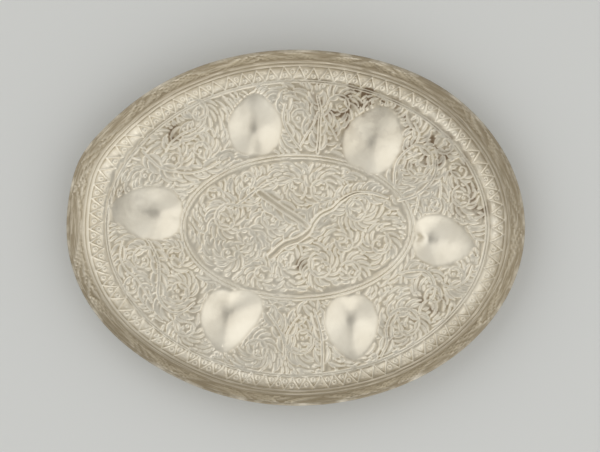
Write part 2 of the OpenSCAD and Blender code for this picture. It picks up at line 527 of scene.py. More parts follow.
def draw_field():
    """The map of the floor: medallion outline, stems, scrolls, and leaves in all the room between."""
    rng = np.random.default_rng(sizes().seed)
    field = Map((-87, -69), (87, 69))
    cells = field.centres()
    flat = cells.reshape(-1, 2)
    outside = ((flat / FIELD_END) ** 2).sum(-1) > 1
    in_well = well_shares(flat, 1.2)[0] > 0.03
    field.taken |= (outside | in_well).reshape(field.shape)
    for a, b in FIELD_LINES:
        field.ridge(oval(0, 0, a, b, 480), 0.75, 0.8)
    cx, cy, a, b = MEDALLION
    for inset, width in MEDALLION_LINES:
        field.ridge(oval(cx, cy, a - inset, b - inset), width, 0.85, take=0.35)
    # A line of no height keeps the leaves clear of the medallion's inner line.
    field.ridge(oval(cx, cy, a - 2.4, b - 2.4), 0.6, 0.0, take=0.9)
    for points, thick, thin in STEMS:
        field.stem(smooth_line(points), thick, thin, 1.0 + 0.09 * thick)
    spirals = [scroll_line(*scroll) for scroll in SCROLLS]
    for (x, y, radius, *_), line in zip(SCROLLS, spirals):
        field.stem(line, 0.9 + 0.03 * radius, 0.8, 0.75)
        field.ridge(oval(x, y, EYE, EYE, 12), 2 * EYE, 1.0, take=0.2)
    for points, thick, thin in STEMS:
        leaves_along(field, smooth_line(points), rng, (thick + thin) / 4, *STEM_LEAVES)
    longest, width, spacing = SCROLL_LEAVES
    for (_, _, radius, *_), line in zip(SCROLLS, spirals):
        most = LONGER_BY_RADIUS * radius + longest
        leaves_along(field, line, rng, 0.5, most, width, spacing, shrink=0.25)
    fill_with_leaves(field, rng)
    field.up[in_well.reshape(field.shape)] = 0
    return field


def fill_with_leaves(field, rng, tries=15000, longest=6.2, curl=0.9, width=1.7):
    """Leaves in the room that is left, set as if each grew round the nearest scroll."""
    middles = np.array([scroll[:2] for scroll in SCROLLS])
    ways = np.array([math.copysign(1, scroll[4]) for scroll in SCROLLS])
    spots = np.stack([rng.uniform(-80, 80, tries), rng.uniform(-63, 63, tries)], -1)
    for spot in spots:
        i, j = ((spot - field.low) / field.pitch).astype(int)
        if field.taken[i - 1 : i + 2, j - 1 : j + 2].any():
            continue
        away = np.hypot(*(middles - spot).T)
        k = away.argmin()
        outwards = math.atan2(spot[1] - middles[k][1], spot[0] - middles[k][0])
        heading = outwards + ways[k] * (0.9 + rng.normal(0, 0.15))
        field.leaf(spot, heading, longest, ways[k] * curl, width, shortest=1.2, skip=0)


# The border and the wall are drawn on a strip: along it the way round, and across it mm out from the ridge.
RIDGE_AT = np.array([93.2, 72.7])
STRIP_IN, STRIP_OUT = -13.0, 15.0
# The strip runs on past its two ends, so that marks near them have room.
STRIP_SPARE = 12
# Where the wall's sprays start, above the ridge.
SPRAYS_FROM = 1.3
SPRAYS = 44
# A spray has leaves that start in a row, and shorter loose ones above them.
ROW_LEAVES, LOOSE_LEAVES = 7, 6


def way_round(turn, steps=4096):
    """The distance round the ridge up to each turn, in mm, and the whole way round."""
    at = np.linspace(0, 2 * math.pi, steps + 1)
    pace = np.hypot(RIDGE_AT[0] * np.sin(at), RIDGE_AT[1] * np.cos(at))
    run = np.concatenate([[0], np.cumsum((pace[1:] + pace[:-1]) / 2 * (at[1] - at[0]))])
    return np.interp(turn, at, run), run[-1]


def draw_strip():
    """The strip's map: sprays of long narrow leaves, which lean now one way and now the other."""
    rng = np.random.default_rng(sizes().seed + 1)
    around = way_round(0.0)[1]
    strip = Map((-STRIP_SPARE, STRIP_IN), (around + STRIP_SPARE, STRIP_OUT))
    strip.taken[:, : int((SPRAYS_FROM - STRIP_IN) / strip.pitch)] = True
    for i in range(SPRAYS):
        middle = (i + 0.5 + rng.normal(0, 0.08)) * around / SPRAYS
        way = 1 if (i // 2) % 2 else -1
        for k in range(ROW_LEAVES):
            base = np.array([middle + way * (1.9 * k - 6.6), 1.6 + rng.uniform(0, 0.3)])
            heading = 0.13 + 0.035 * k + rng.normal(0, 0.04)
            heading = heading if way > 0 else math.pi - heading
            longest = 12.0 + rng.normal(0, 1.5)
            strip.leaf(base, heading, longest, 0.2 * way, width=1.0, height=0.9, shortest=2.0, skip=1)
        for k in range(LOOSE_LEAVES):
            base = np.array([middle + rng.uniform(-7, 7), rng.uniform(4.5, 9.0)])
            heading = rng.normal(0.2, 0.14)
            heading = heading if way > 0 else math.pi - heading
            longest = rng.uniform(5, 11)
            strip.leaf(base, heading, longest, -0.3 * way, width=0.8, height=0.5, shortest=2.0, skip=1)
    return strip


# ---------------------------------------------------------------- the raised sheet


def net(rings):
    """A net of squares drawn on a disc, whose rows follow its edge: its shares, turns, faces and edge."""
    side = np.arange(-rings, rings + 1)
    a, b = np.meshgrid(side, side, indexing="ij")
    a, b = a.ravel().astype(float), b.ravel().astype(float)
    wide = np.abs(a) > np.abs(b)
    by_a, by_b = np.where(a == 0, 1.0, a), np.where(b == 0, 1.0, b)
    radius = np.where(wide, a, b)
    turn = np.where(wide, math.pi / 4 * b / by_a, math.pi / 2 - math.pi / 4 * a / by_b)
    turn = np.where(radius < 0, turn + math.pi, turn)
    n = 2 * rings + 1
    corner = (np.arange(n - 1)[:, None] * n + np.arange(n - 1)[None, :]).ravel()
    faces = np.stack([corner, corner + n, corner + n + 1, corner + 1], -1)
    first, last = np.arange(n) * n, (n - 1) * n + np.arange(1, n)
    edge = np.concatenate([first, last, (n - 1 - np.arange(1, n)) * n + (n - 1), n - 1 - np.arange(1, n - 1)])
    return np.abs(radius) / rings, turn % (2 * math.pi), faces, edge


def draw_wells():
    """The map of the wells' depths, softened as the punches leave them."""
    wells = Map((-87, -69), (87, 69), 0.25)
    wells.up = blurred(well_depths(wells.centres().reshape(-1, 2)).reshape(wells.shape), 2)
    wells.up *= sizes().well_depth / MM / wells.up.max()
    return wells


class SheetSide:
    """One side of the sheet: a net over the floor and rings up the wall, before any marks."""

    def __init__(self, plan, wells, rings, wall_rings, under):
        share, turn, faces, edge = net(rings)
        count = len(edge)
        t = np.linspace(0, 1, wall_rings + 1)[1:]
        # The rings lie closer together in the bend than near the rim.
        t = 0.5 * t + 0.5 * t**1.6
        rows = [edge] + [len(share) + k * count + np.arange(count) for k in range(wall_rings)]
        for low, high in zip(rows, rows[1:]):
            faces = np.vstack([faces, np.stack([low, high, np.roll(high, -1), np.roll(low, -1)], -1)])
        self.t = np.concatenate([np.zeros(len(share)), np.repeat(t, count)])
        self.share = np.concatenate([share, np.ones(wall_rings * count)])
        self.turn = np.concatenate([turn, np.tile(turn[edge], wall_rings)])
        self.faces = faces[:, ::-1] if under else faces
        self.rim = rows[-1]
        self.place, self.raised = plan.point(self.share, self.t, self.turn, under)
        self.place[:, 2] -= wells.at(self.place[:, :2]) * (self.share < 1)

    def strip(self, plan):
        """Where each point is on the strip: mm round the ridge, and mm out from it."""
        floor, wall = plan.floor_end * self.share[:, None], plan.rim - plan.inset(self.t)
        size = np.where((self.share < 1)[:, None], floor, wall)
        mix = np.stack([np.cos(self.turn) ** 2, np.sin(self.turn) ** 2], -1)
        return np.stack([way_round(self.turn)[0], ((size - RIDGE_AT) * mix).sum(-1)], -1)


# How finely the hollow side is meshed: rings over half the floor, and rings up the wall.
FLOOR_RINGS, WALL_RINGS = 225, 32
# One point of the underside's edge meets every third point of the hollow side's.
UNDER_RINGS, UNDER_WALL_RINGS = FLOOR_RINGS // 3, 10
# The streaks left by raising change this often along the wall and across it, in mm.
STREAK_LONG, STREAK_WIDE = 8.0, 0.5
# How far the wall's brown film takes to fade out, and how far over the border it runs on, in mm.
FILM_FADE, FILM_OVER = 5.0, 5.0
# How brown and how dirty the back is.
BACK_FILM, BACK_GRIME = 0.7, 0.4


def set_attribute(mesh, name, values, kind="FLOAT"):
    """Stores one value for each point of the mesh."""
    made = mesh.attributes.new(name, kind, "POINT")
    field = "vector" if kind == "FLOAT_VECTOR" else "value"
    made.data.foreach_set(field, np.ravel(values).astype(np.float32))


def flat_sheet():
    """The sheet as one closed mesh, with the marks' heights stored and not yet raised."""
    plan = Plan()
    wells = draw_wells()
    top = SheetSide(plan, wells, FLOOR_RINGS, WALL_RINGS, 0.0)
    low = SheetSide(plan, wells, UNDER_RINGS, UNDER_WALL_RINGS, 1.0)
    first = len(top.place)
    faces = top.faces.tolist() + (low.faces + first).tolist()
    for i in range(len(low.rim)):
        after = (i + 1) % len(low.rim)
        inner = [top.rim[(3 * i + k) % len(top.rim)] for k in (3, 2, 1, 0)]
        faces.append([int(v) for v in (low.rim[i] + first, low.rim[after] + first, *inner)])
    mesh = bpy.data.meshes.new("chased_dish")
    mesh.from_pydata((np.vstack([top.place, low.place]) * MM).tolist(), [], faces)
    strip_at = top.strip(plan)
    field_up = draw_field().at(top.place[:, :2])
    strip_up = draw_strip().at(strip_at) * (strip_at[:, 1] > 1.0)
    none = np.zeros(len(low.place))
    in_wells = np.clip(well_shares(top.place[:, :2], 0.8)[0] / 0.2, 0, 1)
    # The border and the wall keep little dirt, and the foliage starts 7 mm inside the ridge.
    border_grime = 0.15
    on_field = np.clip(-6 - strip_at[:, 1], border_grime, 1)
    grime = border_grime + (grime_at(top.place[:, :2]) - border_grime) * on_field
    set_attribute(mesh, "up", np.concatenate([np.maximum(field_up, strip_up), none]))
    strip_3d = np.concatenate([strip_at, np.zeros((first, 1))], -1)
    # The back is kept far from every mark on the strip.
    far = 50.0
    away = np.tile([0.0, far, 0.0], (len(low.place), 1))
    set_attribute(mesh, "strip", np.vstack([strip_3d, away]), "FLOAT_VECTOR")
    set_attribute(mesh, "raised", np.vstack([top.raised, -low.raised]), "FLOAT_VECTOR")
    # The streaks run round the wall, so their pattern is laid on a ring and closes on itself.
    turn = np.concatenate([top.turn, low.turn])
    across = np.concatenate([strip_at[:, 1], low.strip(plan)[:, 1]]) / STREAK_WIDE
    ring = way_round(0.0)[1] / STREAK_LONG / (2 * math.pi)
    streak = np.stack([ring * np.cos(turn), ring * np.sin(turn), across], -1)
    set_attribute(mesh, "streak", streak, "FLOAT_VECTOR")
    # The wall's brown film runs on into the border along the sides and at the right, and stops at the left.
    side, right = np.sin(top.turn) ** 2, np.clip(np.cos(top.turn), 0, 1) ** 2
    film = np.clip((strip_at[:, 1] + 1 + FILM_OVER * (side + right)) / FILM_FADE, 0, 1)
    set_attribute(mesh, "wall", np.concatenate([film, none + BACK_FILM]))
    set_attribute(mesh, "well", np.concatenate([in_wells, none]))
    set_attribute(mesh, "grime", np.concatenate([grime, none + BACK_GRIME]))
    return mesh


# Dirt lies thickest along the side furthest from the hand that rubs the plate: x, y, reach and strength.
DIRTY_SPOTS = (
    (29.3, 55.1, 30, 1), (63.7, 34.8, 22, 0.9), (77.9, 8.5, 16, 0.8), (-53.8, 41.9, 4.5, 1),
    (59.7, -34, 14, 0.7), (-77.1, 14.6, 8, 0.6), (-45.7, -38.1, 18, 0.5), (43.5, -46.2, 10, 0.6),
    (1.9, -15.8, 3, 1), (29.3, -58.4, 16, 0.4),
)
CLEANEST = 0.2


def grime_at(p):
    """How much dirt lies in the marks at plan points, 0 to 1."""
    total = np.full(len(p), CLEANEST)
    for x, y, reach, strength in DIRTY_SPOTS:
        total = np.maximum(total, strength * np.exp(-(((p - (x, y)) / reach) ** 2).sum(-1)))
    return total


# How far out from the ridge its two lines lie, in mm.
RIDGE_LINES = (0.35, -1.0)


def raise_border_tree():
    """Draws the border's zigzag, rings, dots and lines, and raises every mark of the sheet.

    Sizes on the strip are in mm, reliefs in metres, and the wear's scale is per metre.
    """
    tree = bpy.data.node_groups.new("raise_border", "GeometryNodeTree")
    node = partial(add_node, tree)
    face = tree.interface
    face.new_socket("Sheet", in_out="INPUT", socket_type="NodeSocketGeometry")
    wanted = (
        ("Zigzags", "Int", 79), ("Round", "Float", 500.0), ("Band", "Float", 5.6),
        ("Inner edge", "Float", -7.2), ("Line", "Float", 0.5), ("Ring", "Float", 0.85),
        ("Rings left", "Float", 0.78), ("Dot", "Float", 0.36), ("Leaf relief", "Float", 0.0006),
        ("Line relief", "Float", 0.0005), ("Shake", "Float", 0.35), ("Wear scale", "Float", 42.0),
        ("Least left", "Float", 0.72), ("Seed", "Int", 0), ("Silver", "Material", None),
    )
    for name, kind, value in wanted:
        made = face.new_socket(name, in_out="INPUT", socket_type="NodeSocket" + kind)
        if value is not None:
            made.default_value = value
    face.new_socket("Sheet", in_out="OUTPUT", socket_type="NodeSocketGeometry")
    given = node("NodeGroupInput").outputs

    points = node("ShaderNodeMath", {0: given["Zigzags"], 1: 2.0}, operation="MULTIPLY").outputs[0]
    count = node("ShaderNodeMath", {0: points, 1: 1.0}, operation="ADD").outputs[0]
    pitch = node("ShaderNodeMath", {0: given["Round"], 1: points}, operation="DIVIDE").outputs[0]
    step = node("ShaderNodeCombineXYZ", {"X": pitch}).outputs[0]
    start = node("ShaderNodeCombineXYZ", {"Y": given["Inner edge"]}).outputs[0]
    row = node("GeometryNodeMeshLine", {"Count": count, "Start Location": start, "Offset": step})

    # Every second point moves out across the band, and each a little its own way. The last repeats the first.
    index = node("GeometryNodeInputIndex").outputs[0]
    odd = node("ShaderNodeMath", {0: index, 1: 2.0}, operation="MODULO").outputs[0]
    who = node("ShaderNodeMath", {0: index, 1: points}, operation="MODULO").outputs[0]
    shake = node(
        "FunctionNodeRandomValue",
        {0: (-1, -1, 0), 1: (1, 1, 0), "ID": who, "Seed": given["Seed"]}, data_type="FLOAT_VECTOR",
    ).outputs[0]
    moved = node("ShaderNodeVectorMath", {0: shake, "Scale": given["Shake"]}, operation="SCALE").outputs[0]

    up_to = node("ShaderNodeMath", {0: odd, 1: given["Band"]}, operation="MULTIPLY").outputs[0]
    zig = node("ShaderNodeCombineXYZ", {"Y": up_to}).outputs[0]
    zag = node("ShaderNodeVectorMath", {0: zig, 1: moved}, operation="ADD").outputs[0]
    zigzag = node("GeometryNodeSetPosition", {"Geometry": row.outputs[0], "Offset": zag}).outputs[0]

    # Each triangle's ring and dot sit a third of the band in from its wide side.
    third = node("ShaderNodeMath", {0: odd, 1: -0.33, 2: 0.66}, operation="MULTIPLY_ADD").outputs[0]
    middle = node("ShaderNodeMath", {0: third, 1: given["Band"]}, operation="MULTIPLY").outputs[0]
    eye = node("ShaderNodeCombineXYZ", {"Y": middle}).outputs[0]
    eye_at = node("ShaderNodeVectorMath", {0: eye, 1: moved}, operation="ADD").outputs[0]
    eyes = node("GeometryNodeSetPosition", {"Geometry": row.outputs[0], "Offset": eye_at}).outputs[0]
    ring = node("GeometryNodeMeshCircle", {"Vertices": 14, "Radius": given["Ring"]}).outputs[0]
    still = node(
        "FunctionNodeRandomValue", {"Probability": given["Rings left"], "ID": who, "Seed": given["Seed"]},
        data_type="BOOLEAN",
    ).outputs[3]
    rings = node(
        "GeometryNodeInstanceOnPoints", {"Points": eyes, "Instance": ring, "Selection": still}
    ).outputs[0]
    rings = node("GeometryNodeRealizeInstances", {"Geometry": rings}).outputs[0]

    whole = node("ShaderNodeCombineXYZ", {"X": given["Round"]}).outputs[0]
    lines = [
        node("GeometryNodeMeshLine", {"Count": 2, "Start Location": at, "Offset": whole}).outputs[0]
        for at in ((0, out, 0) for out in RIDGE_LINES)
    ]
    marks = node("GeometryNodeJoinGeometry")
    for part in (zigzag, rings, *lines):
        tree.links.new(part, marks.inputs[0])

    at = node("GeometryNodeInputNamedAttribute", {"Name": "strip"}, data_type="FLOAT_VECTOR").outputs[0]
    edge_away = node(
        "GeometryNodeProximity", {"Geometry": marks.outputs[0], "Sample Position": at}, target_element="EDGES"
    ).outputs["Distance"]
    dot_away = node(
        "GeometryNodeProximity", {"Geometry": eyes, "Sample Position": at}, target_element="POINTS"
    ).outputs["Distance"]
    line_up = node(
        "ShaderNodeMapRange",
        {"Value": edge_away, "From Max": given["Line"], "To Min": 1.0, "To Max": 0.0},
        interpolation_type="SMOOTHSTEP",
    ).outputs[0]
    dot_up = node(
        "ShaderNodeMapRange",
        {"Value": dot_away, "From Max": given["Dot"], "To Min": 1.0, "To Max": 0.0},
        interpolation_type="SMOOTHSTEP",
    ).outputs[0]
    line_up = node("ShaderNodeMath", {0: line_up, 1: dot_up}, operation="MAXIMUM").outputs[0]
    leaf_up = node("GeometryNodeInputNamedAttribute", {"Name": "up"}, data_type="FLOAT").outputs[0]
    # A border line keeps a little more film on top than a leaf does.
    line_worn = node("ShaderNodeMath", {0: line_up, 1: 0.8}, operation="MULTIPLY").outputs[0]
    both = node("ShaderNodeMath", {0: line_worn, 1: leaf_up}, operation="MAXIMUM").outputs[0]
    line_high = node("ShaderNodeMath", {0: line_up, 1: given["Line relief"]}, operation="MULTIPLY").outputs[0]
    leaf_high = node("ShaderNodeMath", {0: leaf_up, 1: given["Leaf relief"]}, operation="MULTIPLY").outputs[0]
    high = node("ShaderNodeMath", {0: line_high, 1: leaf_high}, operation="MAXIMUM").outputs[0]
    # Marks are worn low in patches.
    patches = node("ShaderNodeTexNoise", {"Scale": given["Wear scale"], "Detail": 1.0}).outputs[0]
    left = node(
        "ShaderNodeMapRange",
        {"Value": patches, "From Min": 0.36, "From Max": 0.58, "To Min": given["Least left"], "To Max": 1.0},
    ).outputs[0]
    high = node("ShaderNodeMath", {0: high, 1: left}, operation="MULTIPLY").outputs[0]
    both = node("ShaderNodeMath", {0: both, 1: left}, operation="MULTIPLY").outputs[0]
    way = node("GeometryNodeInputNamedAttribute", {"Name": "raised"}, data_type="FLOAT_VECTOR").outputs[0]
    lift = node("ShaderNodeVectorMath", {0: way, "Scale": high}, operation="SCALE").outputs[0]
    kept = node(
        "GeometryNodeStoreNamedAttribute", {"Geometry": given["Sheet"], "Name": "up", "Value": both},
        data_type="FLOAT", domain="POINT",
    ).outputs[0]
    sheet = node("GeometryNodeSetPosition", {"Geometry": kept, "Offset": lift}).outputs[0]
    sheet = node("GeometryNodeRealizeInstances", {"Geometry": sheet}).outputs[0]
    sheet = node("GeometryNodeSetMaterial", {"Geometry": sheet, "Material": given["Silver"]}).outputs[0]
    node("NodeGroupOutput", {0: sheet})
    return tree


# The most triangles that the dish keeps.
MOST_TRIANGLES = 196000


def plain(piece):
    """Takes a piece's modifiers into a plain mesh."""
    view = bpy.context.evaluated_depsgraph_get()
    done = bpy.data.meshes.new_from_object(piece.evaluated_get(view), depsgraph=view)
    piece.modifiers.clear()
    piece.data = done
    done.name = piece.name


def thinned(piece):
    """Takes triangles out where the sheet is smooth, down to what one piece may have."""
    count = sum(len(face.vertices) - 2 for face in piece.data.polygons)
    if count > MOST_TRIANGLES:
        piece.modifiers.new("thin", "DECIMATE").ratio = MOST_TRIANGLES / count
        plain(piece)
    piece.data.shade_smooth()


def grown(name, mesh, tree, values):
    """Runs a tree on a mesh and gives the result as a plain object."""
    piece = bpy.data.objects.new(name, mesh)
    bpy.context.collection.objects.link(piece)
    live = piece.modifiers.new("grow", "NODES")
    live.node_group = tree
    for item in tree.interface.items_tree:
        if item.in_out == "INPUT" and item.name in values:
            live[item.identifier] = values[item.name]
    plain(piece)
    piece.data.shade_smooth()
    return piece


def set_hollow_shade_and_dirt(mesh, passes=8, gain=2.2):
    """Stores how far each point lies below the marks round it, where dirt stays and where shade is painted
    into the colour.
    """
    up = np.zeros(len(mesh.vertices), np.float32)
    mesh.attributes["up"].data.foreach_get("value", up)
    ends = np.zeros(2 * len(mesh.edges), np.int32)
    mesh.edges.foreach_get("vertices", ends)
    a, b = ends.reshape(-1, 2).T
    around = np.bincount(ends, minlength=len(up))
    soft = up.astype(float)
    for _ in range(passes):
        total = np.bincount(a, soft[b], len(up)) + np.bincount(b, soft[a], len(up))
        soft = total / np.maximum(around, 1)
    set_attribute(mesh, "hollow_shade_and_dirt", np.clip((soft - up) * gain, 0, 1))


# How far the hammer's small waves move the wire's surface, in mm.
WIRE_WAVES = 0.06
# How far apart the waves are, in mm.
WAVE_LONG = 6.25
WIRE_POINTS = 480


def rim_path():
    """The middle of the rim wire as a closed run of points."""
    plan = Plan()
    turn = np.linspace(0, 2 * math.pi, WIRE_POINTS, endpoint=False)
    one = np.ones(WIRE_POINTS)
    place, _ = plan.point(one, one, turn, 0.5)
    place[:, 2] = WIRE_BOX[1].z / MM - (sizes().wire_thick / MM / 2 + WIRE_WAVES)
    mesh = bpy.data.meshes.new("rim_path")
    joined = [(i, (i + 1) % WIRE_POINTS) for i in range(WIRE_POINTS)]
    mesh.from_pydata((place * MM).tolist(), joined, [])
    return mesh


def sweep_wire_tree():
    """Sweeps a round wire along a path, with the small waves that hammering leaves, in metres."""
    tree = bpy.data.node_groups.new("sweep_wire", "GeometryNodeTree")
    node = partial(add_node, tree)
    face = tree.interface
    face.new_socket("Path", in_out="INPUT", socket_type="NodeSocketGeometry")
    wanted = (("Thickness", "Float", 0.0012), ("Sides", "Int", 12), ("Waves", "Float", 0.00006))
    for name, kind, value in wanted:
        face.new_socket(name, in_out="INPUT", socket_type="NodeSocket" + kind).default_value = value
    face.new_socket("Silver", in_out="INPUT", socket_type="NodeSocketMaterial")
    face.new_socket("Wire", in_out="OUTPUT", socket_type="NodeSocketGeometry")
    given = node("NodeGroupInput").outputs
    line = node("GeometryNodeMeshToCurve", {"Mesh": given["Path"]}).outputs[0]
    radius = node("ShaderNodeMath", {0: given["Thickness"], 1: 0.5}, operation="MULTIPLY").outputs[0]
    section = node("GeometryNodeCurvePrimitiveCircle", {"Resolution": given["Sides"], "Radius": radius})
    wire = node("GeometryNodeCurveToMesh", {"Curve": line, "Profile Curve": section.outputs[0]}).outputs[0]
    noise = node("ShaderNodeTexNoise", {"Scale": per_metre(WAVE_LONG), "Detail": 1.0}).outputs["Color"]
    level = node("ShaderNodeVectorMath", {0: noise, 1: (0.5, 0.5, 0.5)}, operation="SUBTRACT").outputs[0]
    shift = node("ShaderNodeVectorMath", {0: level, "Scale": given["Waves"]}, operation="SCALE").outputs[0]
    wire = node("GeometryNodeSetPosition", {"Geometry": wire, "Offset": shift}).outputs[0]
    wire = node("GeometryNodeRealizeInstances", {"Geometry": wire}).outputs[0]
    wire = node("GeometryNodeSetMaterial", {"Geometry": wire, "Material": given["Silver"]}).outputs[0]
    node("NodeGroupOutput", {0: wire})
    return tree


# ---------------------------------------------------------------- materials

# Sizes of the patterns in the silver, in mm: film, specks of dirt, hammer marks and the grain of rubbing.
# Real rubbed grain is finer than 0.1 mm and would not show, so it is drawn at 0.67 and 1.1 mm.
CLOUDS, SPECKS, BEATEN, GRAIN = 12.5, 5.26, 4.35, 0.667
WIRE_CLOUDS, WIRE_GRAIN = 8.33, 1.11


def new_material(name):
    """An empty material and its tree."""
    made = bpy.data.materials.new(name)
    made.use_nodes = True
    made.node_tree.nodes.clear()
    return made, made.node_tree


def chased_silver():
    """Raised and chased silver: a cream-grey metal, brown with tarnish up the wall, and dirt in its marks."""
    made, tree = new_material("chased silver, rubbed and tarnished")
    node = partial(add_node, tree)
    c = colours()
    at = node("ShaderNodeTexCoord").outputs["Object"]
    hollow_shade_and_dirt, wall, well, grime, up = [
        node("ShaderNodeAttribute", attribute_name=name).outputs["Fac"]
        for name in ("hollow_shade_and_dirt", "wall", "well", "grime", "up")
    ]
    # Cloudy tarnish, which the eye reads as an old film on the silver. Its shares come from patches,
    # from all over, from grime and from hollows, where the film is partly tarnish and partly painted shade,
    # and rubbing takes some off in the wells and on the marks.
    patchy, even, grimy, hollow, rubbed_off, worn_off = 0.3, 0.05, 0.3, 0.7, 0.2, 0.3
    cloud = node("ShaderNodeTexNoise", {"Vector": at, "Scale": per_metre(CLOUDS), "Detail": 4.0}).outputs[0]
    patch = node("ShaderNodeMapRange", {"Value": cloud, "From Min": 0.3, "From Max": 0.7}).outputs[0]
    film = node("ShaderNodeMath", {0: patch, 1: patchy, 2: even}, operation="MULTIPLY_ADD").outputs[0]
    film = node(
        "ShaderNodeMath", {0: grime, 1: grimy, 2: film}, operation="MULTIPLY_ADD", use_clamp=True
    ).outputs[0]
    rubbed = node("ShaderNodeMath", {0: well, 1: -rubbed_off, 2: 1.0}, operation="MULTIPLY_ADD").outputs[0]
    film = node("ShaderNodeMath", {0: film, 1: rubbed}, operation="MULTIPLY").outputs[0]
    # Painted shade: the hollows between the marks take a darker film, partly tarnish and partly shade that
    # deepens the relief.
    film = node(
        "ShaderNodeMath", {0: hollow_shade_and_dirt, 1: hollow, 2: film}, operation="MULTIPLY_ADD", use_clamp=True
    ).outputs[0]
    worn = node("ShaderNodeMath", {0: up, 1: -worn_off, 2: 1.0}, operation="MULTIPLY_ADD").outputs[0]
    film = node("ShaderNodeMath", {0: film, 1: worn}, operation="MULTIPLY").outputs[0]
    floor_tint = node("ShaderNodeMix", {0: film, 6: c.silver, 7: c.haze}, data_type="RGBA").outputs[2]
    # Fine streaks run round the wall, whose brown film is thinner on what stands up.
    bared = 0.75
    way = node("ShaderNodeAttribute", attribute_name="streak").outputs["Vector"]
    streak = node("ShaderNodeTexNoise", {"Vector": way, "Scale": 1.0, "Detail": 2.0}).outputs[0]
    thin = node(
        "ShaderNodeMapRange",
        {"Value": streak, "From Min": 0.5, "From Max": 0.75, "To Min": 1.0, "To Max": 0.45},
    ).outputs[0]
    bare = node("ShaderNodeMath", {0: up, 1: -bared, 2: 1.0}, operation="MULTIPLY_ADD").outputs[0]
    brown = node("ShaderNodeMath", {0: wall, 1: bare}, operation="MULTIPLY").outputs[0]
    brown = node("ShaderNodeMath", {0: brown, 1: thin}, operation="MULTIPLY").outputs[0]
    metal = node("ShaderNodeMix", {0: brown, 6: floor_tint, 7: c.tarnish}, data_type="RGBA").outputs[2]
    # Dirt stays in the hollows of the marks, and breaks up over a few mm.
    in_hollows, on_flats = 2.2, 0.25
    speck = node("ShaderNodeTexNoise", {"Vector": at, "Scale": per_metre(SPECKS), "Detail": 3.0}).outputs[0]
    broken = node("ShaderNodeMapRange", {"Value": speck, "From Min": 0.46, "From Max": 0.6}).outputs[0]
    lying = node("ShaderNodeMath", {0: hollow_shade_and_dirt, 1: in_hollows, 2: on_flats}, operation="MULTIPLY_ADD").outputs[0]
    soil = node("ShaderNodeMath", {0: lying, 1: grime}, operation="MULTIPLY").outputs[0]
    soil = node("ShaderNodeMath", {0: soil, 1: grime}, operation="MULTIPLY").outputs[0]
    soil = node("ShaderNodeMath", {0: soil, 1: broken}, operation="MULTIPLY", use_clamp=True).outputs[0]
    tint = node("ShaderNodeMix", {0: soil, 6: metal, 7: c.dirt}, data_type="RGBA")
    # Dirt and the thick film of the wall scatter light, so they look less like metal.
    dirt_hides, film_hides = 0.9, 0.35
    clean = node("ShaderNodeMath", {0: soil, 1: -dirt_hides, 2: 1.0}, operation="MULTIPLY_ADD").outputs[0]
    clean = node(
        "ShaderNodeMath", {0: brown, 1: -film_hides, 2: clean}, operation="MULTIPLY_ADD", use_clamp=True
    ).outputs[0]
    # Film dulls the silver, and rubbing leaves the wells a little smoother than the floor.
    film_rough, silver_rough, well_smooth = 0.1, 0.37, 0.03
    dull = node(
        "ShaderNodeMath", {0: film, 1: film_rough, 2: silver_rough}, operation="MULTIPLY_ADD"
    ).outputs[0]
    rough = node("ShaderNodeMath", {0: well, 1: -well_smooth, 2: dull}, operation="MULTIPLY_ADD").outputs[0]
    grain = node("ShaderNodeTexNoise", {"Vector": at, "Scale": per_metre(GRAIN), "Detail": 2.0}).outputs[0]
    beaten = node("ShaderNodeTexNoise", {"Vector": at, "Scale": per_metre(BEATEN), "Detail": 1.0}).outputs[0]
    fine = node("ShaderNodeBump", {"Height": grain, "Strength": 0.5, "Distance": 0.06 * MM})
    ribs = node("ShaderNodeMath", {0: streak, 1: wall}, operation="MULTIPLY").outputs[0]
    streaky = node(
        "ShaderNodeBump", {"Height": ribs, "Normal": fine.outputs[0], "Strength": 0.8, "Distance": 0.25 * MM}
    )
    bump = node(
        "ShaderNodeBump",
        {"Height": beaten, "Normal": streaky.outputs[0], "Strength": 0.7, "Distance": 0.2 * MM},
    )
    shader = node(
        "ShaderNodeBsdfPrincipled",
        {"Base Color": tint.outputs[2], "Metallic": clean, "Roughness": rough, "Normal": bump.outputs[0]},
    )
    node("ShaderNodeOutputMaterial", {0: shader.outputs[0]})
    return made


def wire_silver():
    """Drawn silver wire: bright where it is rubbed, with a brown film in clouds between."""
    made, tree = new_material("drawn silver wire, worn")
    node = partial(add_node, tree)
    c = colours()
    at = node("ShaderNodeTexCoord").outputs["Object"]
    cloudy = {"Vector": at, "Scale": per_metre(WIRE_CLOUDS), "Detail": 4.0}
    cloud = node("ShaderNodeTexNoise", cloudy).outputs[0]
    film = node("ShaderNodeMapRange", {"Value": cloud, "From Min": 0.45, "From Max": 0.85}).outputs[0]
    tint = node("ShaderNodeMix", {0: film, 6: c.tarnish, 7: c.silver}, data_type="RGBA")
    grainy = {"Vector": at, "Scale": per_metre(WIRE_GRAIN), "Detail": 2.0}
    grain = node("ShaderNodeTexNoise", grainy).outputs[0]
    rough = node("ShaderNodeMath", {0: grain, 1: 0.2, 2: 0.3}, operation="MULTIPLY_ADD").outputs[0]
    bump = node("ShaderNodeBump", {"Height": grain, "Strength": 0.3, "Distance": 0.05 * MM})
    shader = node(
        "ShaderNodeBsdfPrincipled",
        {"Base Color": tint.outputs[2], "Metallic": 1.0, "Roughness": rough, "Normal": bump.outputs[0]},
    )
    node("ShaderNodeOutputMaterial", {0: shader.outputs[0]})
    return made


def floor_paper():
    """Matt grey studio paper: a plain pale ground."""
    made, tree = new_material("studio paper, matt")
    node = partial(add_node, tree)
    shader = node("ShaderNodeBsdfPrincipled", {"Base Color": colours().ground, "Roughness": 0.9})
    node("ShaderNodeOutputMaterial", {0: shader.outputs[0]})
    return made


# ---------------------------------------------------------------- operators


